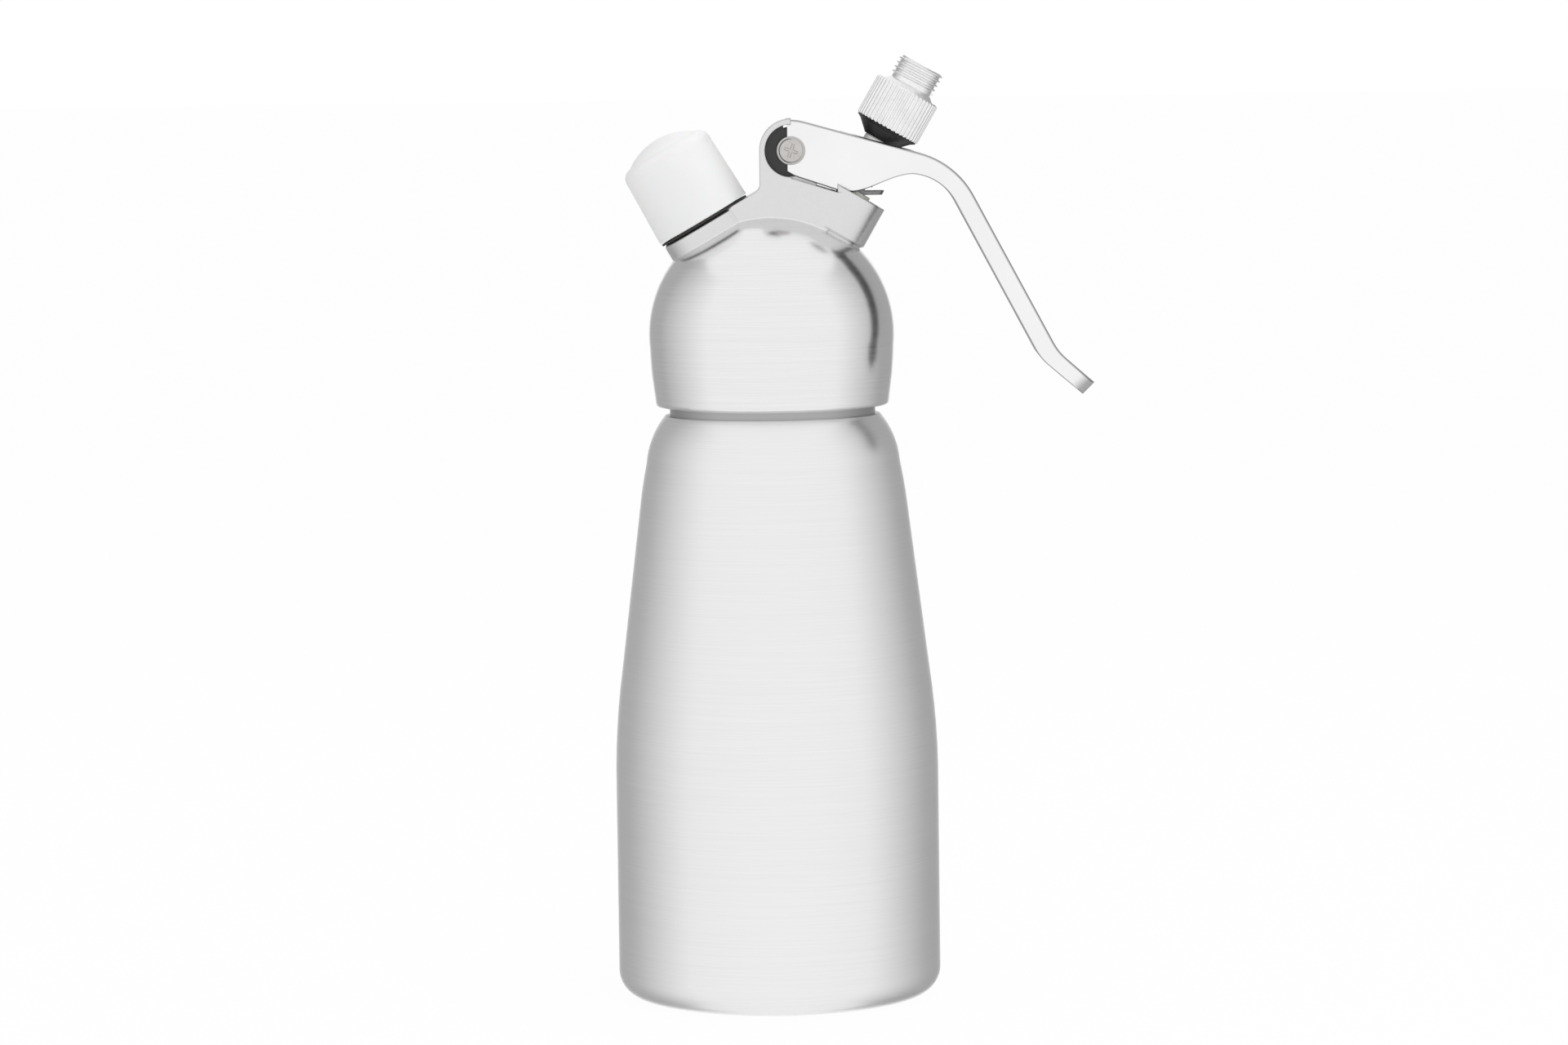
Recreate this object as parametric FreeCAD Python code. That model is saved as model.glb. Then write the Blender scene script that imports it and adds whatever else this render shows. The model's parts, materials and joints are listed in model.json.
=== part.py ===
import FreeCAD, Part
import math
import os

# Whipped cream dispenser: an aluminium pressure bottle with a screw-on cast head.
# X points to the lever's grip, Y away from the viewer, Z up.
# The origin is the bottom centre of the bottle. All sizes are millimetres and degrees.

V = FreeCAD.Vector
UP = V(0, 0, 1)

# Clearances
running_gap = 0.05
loose_gap = 0.3
thread_gap = 0.15
lever_gap = 0.4

# Bottle
bottle_radius = 41.0
bottle_wall = 1.6
base_corner_radius = 6.5
base_thickness = 2.5
straight_top = 58.0
taper_bottom_z = 84.0
taper_bottom_radius = 38.95
taper_top_z = 124.0
taper_top_radius = 34.0
shoulder_z = 136.0
shoulder_radius = 32.1
bottle_top_z = 148.0
bottle_top_radius = 27.2
neck_radius = 26.0
neck_wall = 2.2
lip_z = 163.0

# Neck thread
neck_thread_pitch = 4.0
neck_thread_height = 0.8
neck_thread_start_z = 151.5
neck_thread_turns = 2.0

# Head dome
dome_centre_z = 168.3
dome_radius = 31.0
skirt_mid_z = 158.0
skirt_mid_radius = 30.4
skirt_bottom_z = 150.3
skirt_bottom_radius = 29.5
skirt_edge_radius = 0.8
cavity_inset = 1.3
cavity_radius = neck_radius - neck_wall - cavity_inset
gasket_thickness = 2.5

# Boss axes, both through the dome's centre
inlet_tilt = 30.0
valve_tilt = 30.0

# Valve boss, measured along its axis from the dome's centre
valve_boss_radius = 9.6
valve_boss_bottom = 30.5
valve_boss_flare = 2.0
valve_boss_top = 41.2
boss_pocket_radius = 8.3
boss_pocket_floor = 38.0
spring_bore_radius = 5.7
spring_floor = 31.0
valve_seat_at = 25.5
poppet_chamber_radius = 6.8
poppet_chamber_bottom = 15.0

# Inlet boss
inlet_boss_radius = 12.0
inlet_boss_bottom = 26.0
inlet_boss_top = 33.0
inlet_boss_edge = 1.2
inlet_bore_bottom = 15.0

# Saddle between the bosses, and the lever post
saddle_half_width = 9.4
post_outer_radius = 8.0
post_notch_radius = 6.6
post_foot_radius = 2.0
lug_half_width = 5.0
lug_radius = 5.9
pocket_half_width = 7.4
pivot_x = 5.5
pivot_z = 214.6
wall_slope = 17.5
wall_reach = 14.2
lug_foot_z = 199.5
notch_overlap = 0.35

# Lever
lever_press_angle = 8.0
cheek_thickness = 1.6
web_thickness = 1.5
lever_start_x = 4.6
lever_top_radius = 7.9
lever_slope = 16.1
handle_slope = 61.5
paddle_slope = 41.5
handle_depth = 4.8
handle_corner_x = 46.9
handle_corner_z = 211.1
paddle_corner_x = 72.3
paddle_corner_z = 163.2
paddle_length = 12.2
handle_bend_radius = 22.0
paddle_bend_radius = 14.0
handle_half_width = 7.0
paddle_half_width = 9.0
cheek_bottom_x = 19.5
cheek_bottom_z = 203.9
cheek_rise_x = 36.0
cheek_rise_z = 208.3
cheek_rise_steps = 8
web_slot_left = 18.0
web_slot_right = 36.6
web_slot_half_width = 4.6

# Lever pivot
pivot_bore_radius = 2.6
sleeve_radius = 2.5
screw_radius = 1.5
screw_head_radius = 3.1
screw_head_height = 1.6
cross_recess_depth = 0.8
washer_thickness = 0.4
washer_radius = 3.6
nut_radius = 3.0
nut_height = 1.7

# Valve stem and what it carries, along the valve axis
stem_radius = 3.5
stem_neck_radius = 2.8
stem_upper_radius = 4.1
stem_bore_radius = 1.5
stem_bottom = 18.2
stem_step = 44.6
stem_shoulder = 55.8
stem_thread_radius = 4.0
stem_top = 66.0
stem_tail_radius = 2.0
stem_port_radius = 0.9
stem_port_at = 25.2
stem_port_count = 4
collar_bottom = 40.3
collar_top = 42.0
collar_radius = 5.0
clip_thickness = 0.6
clip_radius = 3.6
clip_slack = 0.1
fork_gap = 0.1
fork_thickness = 1.0
fork_half_width = 4.3
fork_tip_x = 29.1
fork_start = -4.4
poppet_radius = 5.2
poppet_thickness = 2.6
poppet_seal_thickness = 1.4
poppet_nut_radius = 3.4
seat_thickness = 1.5
seat_bore_radius = 4.3

# Valve spring
spring_wire = 0.8
spring_turns = 4
spring_mean_radius = 4.55

# Nozzle adapter
adapter_bottom = 59.4
adapter_knurl_top = 70.4
adapter_radius = 8.6
knurl_count = 44
knurl_depth = 0.35
adapter_shoulder_top = 71.6
outlet_thread_radius = 6.0
outlet_thread_depth = 0.55
outlet_thread_pitch = 1.25
outlet_top = 77.6
outlet_bore_radius = 3.2
washer_cone_bottom = 56.0
washer_cone_radius = 7.2
cone_foot_radius = 4.4

# Charger inlet under the cap, along the inlet axis
inlet_gasket_thickness = 0.5
inlet_gasket_radius = 12.3
stub_thread_radius = 10.5
stub_thread_depth = 0.6
stub_thread_pitch = 1.5
stub_top = 45.2
stub_shank_radius = 5.8
stub_bottom = 22.6
charger_neck_radius = 4.7
charger_neck_floor = 37.6
pin_radius = 1.1
pin_length = 3.4
gas_bore_radius = 0.8
ball_radius = 1.5
ball_seat_at = 30.6
check_bore_radius = 2.3
check_spring_wire = 0.35
check_spring_turns = 3

# Cap
cap_bottom = 33.8
cap_radius = 12.6
cap_top_radius = 12.1
cap_side_height = 17.0
cap_height = 23.2
cap_edge_radius = 4.2
cap_wall = 1.5
cap_rib_count = 6


def frame_on_axis(tilt):
    """Unit vector leaning from vertical towards +X by tilt degrees."""
    lean = math.radians(tilt)
    return V(math.sin(lean), 0, math.cos(lean))


dome_centre = V(0, 0, dome_centre_z)
valve_axis = frame_on_axis(valve_tilt)
inlet_axis = frame_on_axis(-inlet_tilt)
pivot = V(pivot_x, 0, pivot_z)


def along(axis, distance):
    """Point on a boss axis, measured from the dome's centre."""
    return dome_centre + axis * distance


def rod(axis, start, end, radius):
    return Part.makeCylinder(radius, end - start, along(axis, start), axis)


def tube(axis, start, end, outer, inner):
    return rod(axis, start, end, outer).cut(rod(axis, start - 1, end + 1, inner))


def cone_on_axis(axis, start, end, radius_start, radius_end):
    return Part.makeCone(radius_start, radius_end, end - start, along(axis, start), axis)


def revolved(points, arcs=()):
    """Solid of revolution about Z. Points are (radius, z); arcs maps a point's index to the
    middle point of the arc that runs from it to the next one."""
    arcs = dict(arcs)
    vectors = [V(r, 0, z) for r, z in points]
    edges = []
    for index, start in enumerate(vectors):
        end = vectors[(index + 1) % len(vectors)]
        if index in arcs:
            middle_r, middle_z = arcs[index]
            edges.append(Part.Arc(start, V(middle_r, 0, middle_z), end).toShape())
        else:
            edges.append(Part.LineSegment(start, end).toShape())
    face = Part.Face(Part.Wire(edges))
    return face.revolve(V(0, 0, 0), UP, 360)


def plate_xz(points, half_width, start_y=None):
    """Prism of a closed XZ outline between y = -half_width and y = half_width, or from
    start_y over 2 * half_width."""
    low = -half_width if start_y is None else start_y
    wire = Part.makePolygon([V(x, low, z) for x, z in points + points[:1]])
    return Part.Face(wire).extrude(V(0, 2 * half_width, 0))


def disc_xz(centre, radius, half_width):
    return Part.makeCylinder(radius, 2 * half_width, V(centre.x, -half_width, centre.z), V(0, 1, 0))


def corner_arc(before, corner, after, radius, steps=8):
    """Points of the arc of a given radius that rounds a corner of an XZ outline."""
    first = (before - corner).normalize()
    second = (after - corner).normalize()
    half = first.getAngle(second) / 2
    reach = radius / math.tan(half)
    bisector = (first + second).normalize()
    centre = corner + bisector * (radius / math.sin(half))
    start = corner + first * reach
    end = corner + second * reach
    points = []
    for step in range(steps + 1):
        mix = start + (end - start) * (step / steps)
        points.append(centre + (mix - centre).normalize() * radius)
    return points


def helix_thread(axis, origin, radius, pitch, turns, depth, width):
    """Solid helical ridge of triangular section round an axis, standing proud of radius."""
    path = Part.makeHelix(pitch, pitch * turns, radius)
    low = V(radius - 0.2, 0, -width / 2)
    tip_low = V(radius + depth, 0, -width / 8)
    tip_high = V(radius + depth, 0, width / 8)
    high = V(radius - 0.2, 0, width / 2)
    profile = Part.makePolygon([low, tip_low, tip_high, high, low])
    ridge = Part.Wire(path).makePipeShell([profile], True, True)
    turn = FreeCAD.Rotation(UP, axis)
    ridge.Placement = FreeCAD.Placement(origin, turn)
    return ridge


# The lever's neutral lines in the XZ plane
def direction_down(slope):
    lean = math.radians(slope)
    return V(math.cos(lean), 0, -math.sin(lean))


lever_line = direction_down(lever_slope)
handle_line = direction_down(handle_slope)
paddle_line = direction_down(paddle_slope)
handle_corner = V(handle_corner_x, 0, handle_corner_z)
paddle_corner = V(paddle_corner_x, 0, paddle_corner_z)
paddle_end = paddle_corner + paddle_line * paddle_length


def inward(line):
    """Normal of a lever line, on the side that faces the bottle."""
    return V(line.z, 0, -line.x)


def lever_outline(inset, depth):
    """Closed XZ outline of the lever between its top line moved in by inset and its lower
    edge at depth below the top line. The front part widens into the pivot cheeks."""
    top_left = pivot + V(lever_start_x - pivot_x, 0, lever_top_radius - inset)
    knee = V(pivot_x + lever_top_radius * 0.2774, 0, pivot_z + lever_top_radius * 0.9607)
    knee = knee + inward(lever_line) * inset
    corner = handle_corner + inward(lever_line) * inset + handle_line * (-0.35 * inset)
    paddle = paddle_corner + inward(handle_line) * inset
    end_top = paddle_end + inward(paddle_line) * inset
    top = [top_left, knee]
    top += corner_arc(knee, corner, paddle, handle_bend_radius - inset)
    top += corner_arc(corner, paddle, end_top, paddle_bend_radius + inset)
    top += [end_top]
    low_end = paddle_end + inward(paddle_line) * (depth * 0.86) + paddle_line * (-0.6)
    low_paddle = paddle_corner + inward(handle_line) * depth + paddle_line * (-1.0)
    low_corner = handle_corner + inward(handle_line) * depth + handle_line * 1.5
    low_corner = low_corner + lever_line * (-0.4)
    low_front = V(cheek_rise_x, 0, cheek_rise_z)
    low = [low_end]
    low += corner_arc(low_end, low_paddle, low_corner, paddle_bend_radius)
    low += corner_arc(low_paddle, low_corner, low_front, handle_bend_radius - depth - 4.0)
    return top, low


def cheek_lower_edge():
    """Lower edge of the cheeks from the grip end back to the pivot eye. It rises from the
    lowest point to the grip as 3t^2 - 2t^3, which is level at both ends."""
    points = []
    for step in range(cheek_rise_steps - 1, -1, -1):
        t = step / cheek_rise_steps
        rise = t * t * (3 - 2 * t)
        points.append(V(cheek_bottom_x + (cheek_rise_x - cheek_bottom_x) * t, 0,
                        cheek_bottom_z + (cheek_rise_z - cheek_bottom_z) * rise))
    points.append(V(cheek_bottom_x - 1.9, 0, cheek_bottom_z + 0.4))
    points.append(V(lever_start_x + 1.6, 0, cheek_bottom_z + 4.3))
    return points


def turned_about_pivot(point, degrees):
    """Point carried round the pivot by the lever's press."""
    turn = math.radians(degrees)
    arm = point - pivot
    x = arm.x * math.cos(turn) + arm.z * math.sin(turn)
    z = -arm.x * math.sin(turn) + arm.z * math.cos(turn)
    return pivot + V(x, 0, z)


def make_bottle():
    inner_neck = neck_radius - neck_wall
    outer = [(0, 0), (bottle_radius - base_corner_radius, 0), (bottle_radius, base_corner_radius),
             (bottle_radius, straight_top), (taper_bottom_radius, taper_bottom_z),
             (taper_top_radius, taper_top_z), (shoulder_radius, shoulder_z),
             (bottle_top_radius, bottle_top_z), (neck_radius, bottle_top_z), (neck_radius, lip_z),
             (inner_neck, lip_z), (inner_neck, bottle_top_z - bottle_wall - 1.0),
             (shoulder_radius - bottle_wall, shoulder_z - 1.5),
             (taper_top_radius - bottle_wall, taper_top_z),
             (taper_bottom_radius - bottle_wall, taper_bottom_z),
             (bottle_radius - bottle_wall, straight_top),
             (bottle_radius - bottle_wall, base_corner_radius + bottle_wall),
             (bottle_radius - base_corner_radius, base_thickness), (0, base_thickness)]
    corner = base_corner_radius * (1 - math.sqrt(0.5))
    middle_r = (bottle_radius + taper_bottom_radius) / 2 + 0.42
    middle_z = (straight_top + taper_bottom_z) / 2
    arcs = {1: (bottle_radius - corner, corner),
            3: (middle_r, middle_z),
            5: ((taper_top_radius + shoulder_radius) / 2 + 0.14, (taper_top_z + shoulder_z) / 2),
            6: (shoulder_radius - 1.55, shoulder_z + 6.4),
            11: (shoulder_radius - bottle_wall - 2.2, shoulder_z + 3.9),
            14: (middle_r - bottle_wall, middle_z),
            16: (bottle_radius - bottle_wall - 1.4, base_thickness + 1.55)}
    shape = revolved(outer, arcs)
    ridge = helix_thread(UP, V(0, 0, neck_thread_start_z), neck_radius, neck_thread_pitch,
                         neck_thread_turns, neck_thread_height, neck_thread_pitch * 0.5)
    return shape.fuse(ridge)


def make_head():
    thread_radius = neck_radius + neck_thread_height + thread_gap
    ledge_z = lip_z + gasket_thickness
    skirt_inner = skirt_bottom_radius - 2.0
    equator_z = dome_centre_z - 3.0
    top_middle = dome_radius * math.sqrt(0.5)
    equator_radius = math.sqrt(dome_radius ** 2 - 3.0 ** 2)
    mid = ((equator_radius + skirt_mid_radius) / 2 + 0.06, (equator_z + skirt_mid_z) / 2)
    dome = revolved(
        [(0, dome_centre_z + dome_radius), (equator_radius, equator_z),
         (skirt_mid_radius, skirt_mid_z), (skirt_bottom_radius, skirt_bottom_z + skirt_edge_radius),
         (skirt_bottom_radius - skirt_edge_radius, skirt_bottom_z), (skirt_inner, skirt_bottom_z),
         (thread_radius, skirt_bottom_z + 1.0), (thread_radius, ledge_z), (0, ledge_z)],
        {0: (top_middle, dome_centre_z + top_middle), 1: mid,
         3: (skirt_bottom_radius - skirt_edge_radius * 0.29,
             skirt_bottom_z + skirt_edge_radius * 0.29)})

    # Bosses on the dome
    inlet_boss = rod(inlet_axis, inlet_boss_bottom, inlet_boss_top, inlet_boss_radius)
    top_edge = [e for e in inlet_boss.Edges
                if e.Closed and e.CenterOfMass.z > along(inlet_axis, inlet_boss_top - 0.5).z]
    inlet_boss = inlet_boss.makeFillet(inlet_boss_edge, top_edge)
    valve_boss = rod(valve_axis, valve_boss_bottom, valve_boss_top, valve_boss_radius)
    flare = cone_on_axis(valve_axis, valve_boss_bottom - valve_boss_flare, valve_boss_bottom,
                         valve_boss_radius - valve_boss_flare, valve_boss_radius)
    valve_boss = valve_boss.fuse(flare)

    # Saddle slab from the inlet boss to the valve boss, with the post round the pivot
    post_x = pivot_x - post_outer_radius
    left_top = along(inlet_axis, inlet_boss_top)
    foot = left_top + V(math.cos(math.radians(inlet_tilt)), 0, math.sin(math.radians(inlet_tilt))) * (
        (post_x - left_top.x) / math.cos(math.radians(inlet_tilt)))
    foot_arc = corner_arc(left_top, foot, V(post_x, 0, pivot_z), post_foot_radius, 5)
    low_left = along(inlet_axis, inlet_boss_bottom)
    low_right = along(valve_axis, valve_boss_bottom)
    top_right = along(valve_axis, valve_boss_top)
    wall_line = direction_down(wall_slope)
    wall_low = pivot + inward(wall_line) * post_notch_radius
    wall_end = wall_low + wall_line * wall_reach
    outline = [left_top] + foot_arc + [V(post_x, 0, pivot_z)]
    outline += [V(pivot_x, 0, pivot_z), wall_low, wall_end, top_right, low_right, V(0, 0, 190), low_left]
    slab = plate_xz([(p.x, p.z) for p in outline], saddle_half_width)
    over_wall = [wall_low, wall_end, wall_end + V(0, 0, 12), wall_low + V(0, 0, 12)]
    valve_boss = valve_boss.cut(plate_xz([(p.x, p.z) for p in over_wall], valve_boss_radius + 1))
    post = disc_xz(pivot, post_outer_radius, saddle_half_width)
    keep = Part.makeBox(post_outer_radius, 2 * saddle_half_width, 2 * post_outer_radius + 1,
                        V(post_x, -saddle_half_width, pivot_z - post_outer_radius))
    post = post.common(keep)
    lower_sector = plate_xz([(pivot.x, pivot.z), (wall_low.x, wall_low.z),
                             (wall_low.x - 0.2, wall_low.z - 6), (pivot.x - 6, pivot.z - 9)],
                            saddle_half_width)
    shape = dome.fuse([inlet_boss, valve_boss, slab, post, lower_sector])

    # Open notch round the pivot and the pocket that the lever's cheeks swing in
    notch = disc_xz(pivot, post_notch_radius, saddle_half_width + 1)
    pocket_left = lever_start_x - loose_gap
    pocket_points = [V(pocket_left, 0, pivot_z), V(pocket_left, 0, pivot_z + 12),
                     V(40, 0, pivot_z + 12), V(40, 0, 204)]
    swept = [turned_about_pivot(p, lever_press_angle) for p in cheek_lower_edge()]
    pocket_points += [p + V(0, 0, -lever_gap - 0.2) for p in swept[3:-1]]
    pocket_points += [pivot + V(-1.5, 0, -post_notch_radius + notch_overlap)]
    pocket = plate_xz([(p.x, p.z) for p in pocket_points], pocket_half_width)
    boss_pocket = rod(valve_axis, boss_pocket_floor, valve_boss_top + 30, boss_pocket_radius)
    shape = shape.cut(notch)
    shape = shape.cut(pocket)
    shape = shape.cut(boss_pocket)

    # Lug that carries the pivot between the cheeks, solid back to the post
    lug_foot = [(post_x + 1.0, pivot_z), (pivot_x, pivot_z), (pivot_x + 5.4, pivot_z - 2.4),
                (pivot_x + 6.6, lug_foot_z + 4.9), (pivot_x + 4.0, lug_foot_z),
                (post_x + 1.0, lug_foot_z)]
    lug = plate_xz(lug_foot, lug_half_width).fuse(disc_xz(pivot, lug_radius, lug_half_width))
    behind = Part.makeBox(lever_start_x - 1.0 - post_x, 2 * lug_half_width, 2 * post_outer_radius,
                          V(post_x, -lug_half_width, pivot_z - post_outer_radius))
    lug = lug.fuse(disc_xz(pivot, post_outer_radius - 0.2, lug_half_width).common(behind))
    lug = lug.cut(rod(valve_axis, boss_pocket_floor, valve_boss_top + 30, boss_pocket_radius))
    shape = shape.fuse(lug)
    shape = shape.cut(disc_xz(pivot, pivot_bore_radius, lug_half_width + 1))

    # Inside: gas and cream chamber, valve bores, inlet bore
    cavity = Part.makeSphere(cavity_radius, V(0, 0, ledge_z))
    bores = [cavity,
             rod(valve_axis, spring_floor, valve_boss_top + 1, spring_bore_radius),
             rod(valve_axis, poppet_chamber_bottom, valve_seat_at + running_gap, poppet_chamber_radius),
             rod(valve_axis, valve_seat_at - 1, spring_floor + 1, stem_radius + 1.2),
             rod(inlet_axis, inlet_bore_bottom, inlet_boss_top + 1, stub_shank_radius + running_gap)]
    for bore in bores:
        shape = shape.cut(bore)
    return shape.removeSplitter()


def make_head_gasket():
    low = V(0, 0, lip_z)
    ring = Part.makeCylinder(neck_radius, gasket_thickness, low)
    return ring.cut(Part.makeCylinder(neck_radius - neck_wall, gasket_thickness + 2, low - UP))


def make_lever():
    top, low = lever_outline(0, handle_depth)
    cheek_edge = cheek_lower_edge()
    eye_left = [V(lever_start_x, 0, pivot_z - lug_radius + 0.5)]
    outline = top + low + cheek_edge + eye_left
    points = [(p.x, p.z) for p in outline]
    inner_half = lug_half_width + loose_gap
    outer_half = inner_half + cheek_thickness
    body = plate_xz(points, outer_half)

    # The grip is wider than the cheeks and ends in a rounded paddle
    grip_low = handle_corner + handle_line * 6
    paddle_tip = paddle_end + inward(paddle_line) * 2
    flare = plate_xz(points, paddle_half_width)
    side = direction_down(handle_slope)
    keep_points = []
    for distance, half in ((0, outer_half), (18, handle_half_width), (44, handle_half_width + 0.6),
                           (54, paddle_half_width), (60, paddle_half_width)):
        keep_points.append((grip_low + side * distance, half))
    normal = inward(handle_line) * 30
    wedge = None
    for (start, half_a), (end, half_b) in zip(keep_points[:-1], keep_points[1:]):
        a = start - normal
        b = end - normal
        face = Part.Face(Part.makePolygon([V(a.x, -half_a, a.z), V(a.x, half_a, a.z),
                                           V(b.x, half_b, b.z), V(b.x, -half_b, b.z),
                                           V(a.x, -half_a, a.z)]))
        piece = face.extrude(normal * 2)
        wedge = piece if wedge is None else wedge.fuse(piece)
    grip = flare.common(wedge)
    body = body.cut(wedge).fuse(grip)

    # Round end of the paddle
    tip_cylinder = Part.makeCylinder(paddle_half_width, 60, paddle_tip - inward(paddle_line) * 30
                                     - paddle_line * paddle_half_width, inward(paddle_line))
    tip_box = Part.makeBox(2 * paddle_half_width, 2 * paddle_half_width + 2, 60)
    tip_box.translate(V(0, -paddle_half_width - 1, -30))
    tip_box.Placement = FreeCAD.Placement(
        paddle_tip - paddle_line * paddle_half_width, FreeCAD.Rotation(V(1, 0, 0), paddle_line)
    ).multiply(tip_box.Placement)
    body = body.cut(tip_box.cut(tip_cylinder))

    # Hollow underside: the web stays on top, the cheeks and the rims at the sides
    hollow_top, _ = lever_outline(web_thickness, handle_depth)
    hollow = hollow_top + [paddle_end + inward(paddle_line) * 20, V(60, 0, 160), V(20, 0, 190),
                           V(-6, 0, 200), V(-6, 0, hollow_top[0].z)]
    hollow_points = [(p.x, p.z) for p in hollow]
    channel = plate_xz(hollow_points, inner_half)
    body = body.cut(channel)
    body = body.cut(plate_xz([(web_slot_left, pivot_z - 4), (web_slot_right, pivot_z - 4),
                              (web_slot_right, pivot_z + 12), (web_slot_left, pivot_z + 12)],
                             web_slot_half_width))
    body = body.cut(disc_xz(pivot, sleeve_radius + running_gap, outer_half + 2))
    return body.removeSplitter()


def make_fork_plate():
    """Forked plate between the cheeks that bears on the spring collar."""
    across = V(valve_axis.z, 0, -valve_axis.x)
    base = along(valve_axis, collar_top + fork_gap)
    start = base + across * fork_start
    bend = base + across * 3.2
    tip = V(fork_tip_x, 0, bend.z)
    thick = valve_axis * fork_thickness
    points = [start, bend, tip, tip + V(0.3, 0, fork_thickness / 2), tip + V(0, 0, fork_thickness),
              bend + V(0.25, 0, fork_thickness), start + thick]
    plate = plate_xz([(p.x, p.z) for p in points], fork_half_width)
    plate = plate.common(rod(valve_axis, 30, 50, boss_pocket_radius - 0.6))
    slot = rod(valve_axis, 38, 48, stem_neck_radius + loose_gap + 0.3)
    open_end = Part.makeBox(20, 2 * (stem_neck_radius + loose_gap), 12,
                            V(base.x, -stem_neck_radius - loose_gap, base.z - 6))
    plate = plate.cut(slot).cut(open_end)
    # Side tabs that reach out to the cheeks
    tab_start = start + across * 0.2
    tab_end = start + across * 2.2
    rise = valve_axis * 4.2
    tab = [(p.x, p.z) for p in (tab_start, tab_end, tab_end + rise, tab_start + rise)]
    inner_half = lug_half_width + loose_gap
    ears = plate_xz(tab, inner_half).cut(plate_xz(tab, stem_neck_radius + loose_gap + 0.9))
    return plate.fuse(ears).removeSplitter()


def make_pivot_parts():
    inner_half = lug_half_width + loose_gap
    outer_half = inner_half + cheek_thickness
    sleeve_end = outer_half + 0.1
    sleeve = disc_xz(pivot, sleeve_radius, sleeve_end).cut(disc_xz(pivot, screw_radius + 0.05, 20))
    front = sleeve_end
    washer = Part.makeCylinder(washer_radius, washer_thickness,
                               V(pivot_x, -front - washer_thickness, pivot_z), V(0, 1, 0))
    back_washer = Part.makeCylinder(washer_radius, washer_thickness,
                                    V(pivot_x, front, pivot_z), V(0, 1, 0))
    hole = disc_xz(pivot, screw_radius + 0.05, 20)
    washers = Part.makeCompound([washer.cut(hole), back_washer.cut(hole)])
    head_y = -front - washer_thickness
    head = Part.makeCylinder(screw_head_radius, screw_head_height,
                             V(pivot_x, head_y - screw_head_height, pivot_z), V(0, 1, 0))
    rim = [e for e in head.Edges if e.Closed and e.CenterOfMass.y < head_y - 0.5 * screw_head_height]
    head = head.makeFillet(0.7, rim)
    thread_end = front + washer_thickness + nut_height
    shank = Part.makeCylinder(screw_radius, thread_end - head_y, V(pivot_x, head_y, pivot_z), V(0, 1, 0))
    screw = head.fuse(shank)
    for angle in (20, 110):
        blade = Part.makeBox(3.4, 1.0, 0.75, V(-1.7, 0, -0.375))
        blade.rotate(V(0, 0, 0), V(0, 1, 0), angle)
        blade.translate(V(pivot_x, head_y - screw_head_height + cross_recess_depth - 1.0, pivot_z))
        screw = screw.cut(blade)
    corners = []
    for index in range(6):
        turn = math.radians(60 * index)
        corners.append((pivot_x + nut_radius * math.cos(turn), pivot_z + nut_radius * math.sin(turn)))
    nut = plate_xz(corners, nut_height / 2, front + washer_thickness)
    nut = nut.cut(disc_xz(pivot, screw_radius + 0.02, 20))
    return sleeve, washers, screw, nut


def make_valve_stem():
    shape = rod(valve_axis, stem_bottom, collar_bottom, stem_radius)
    shape = shape.fuse([rod(valve_axis, collar_bottom - 0.2, stem_step, stem_neck_radius),
                        rod(valve_axis, stem_step, stem_shoulder, stem_upper_radius),
                        rod(valve_axis, stem_shoulder - 0.1, stem_top, stem_thread_radius)])
    tail = tube(valve_axis, stem_bottom - 1, valve_seat_at - seat_thickness, stem_radius + 1,
                stem_tail_radius)
    shape = shape.cut(tail)
    shape = shape.cut(rod(valve_axis, stem_port_at - 0.5, stem_top + 1, stem_bore_radius))
    for index in range(stem_port_count):
        port = Part.makeCylinder(stem_port_radius, stem_radius + 1, along(valve_axis, stem_port_at),
                                 V(0, 1, 0))
        port.rotate(along(valve_axis, stem_port_at), valve_axis, 360.0 * index / stem_port_count)
        shape = shape.cut(port)
    return shape.removeSplitter()


def make_collar_and_clip():
    """Spring collar, and the clip in its counterbore that locks it on the stem."""
    clip_top = collar_top - running_gap
    clip_bottom = clip_top - clip_thickness
    collar = tube(valve_axis, collar_bottom, collar_top, collar_radius, stem_neck_radius + running_gap)
    collar = collar.cut(rod(valve_axis, clip_bottom, collar_top + 1, clip_radius + clip_slack))
    clip = tube(valve_axis, clip_bottom, clip_top, clip_radius, stem_neck_radius + running_gap)
    return collar, clip


def helix_wire(axis, start, end, mean_radius, turns):
    """Spring centre line of two arcs per quarter turn, and points along it."""
    side = V(axis.z, 0, -axis.x)
    other = axis.cross(side)

    def point(turn):
        angle = 2 * math.pi * turn
        level = start + (end - start) * turn / turns
        out = side * (mean_radius * math.cos(angle)) + other * (mean_radius * math.sin(angle))
        return along(axis, level) + out

    def tangent(turn):
        angle = 2 * math.pi * turn
        rise = (end - start) / turns / (2 * math.pi)
        return (side * (-mean_radius * math.sin(angle)) + other * (mean_radius * math.cos(angle))
                + axis * rise).normalize()

    edges = []
    quarter = 0.25
    steps = int(round(turns / quarter))
    for step in range(steps):
        first = point(step * quarter)
        last = point((step + 1) * quarter)
        edges += biarc(first, tangent(step * quarter), last, tangent((step + 1) * quarter))
    return edges, [point(step * quarter / 4) for step in range(steps * 4 + 1)]


def biarc(start, start_way, end, end_way):
    """Two tangent arcs from start to end with the given end directions."""
    chord = end - start
    ways = start_way + end_way
    a = 2 * (1 - start_way.dot(end_way))
    b = 2 * chord.dot(ways)
    c = -chord.dot(chord)
    reach = (-b + math.sqrt(b * b - 4 * a * c)) / (2 * a)
    knot = (start + end) * 0.5 + (start_way - end_way) * (reach / 2)
    first = arc_by_tangent(start, start_way, knot)
    middle_way = ((end - end_way * reach) - (start + start_way * reach)).normalize()
    second = arc_by_tangent(knot, middle_way, end)
    return [first, second]


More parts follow.
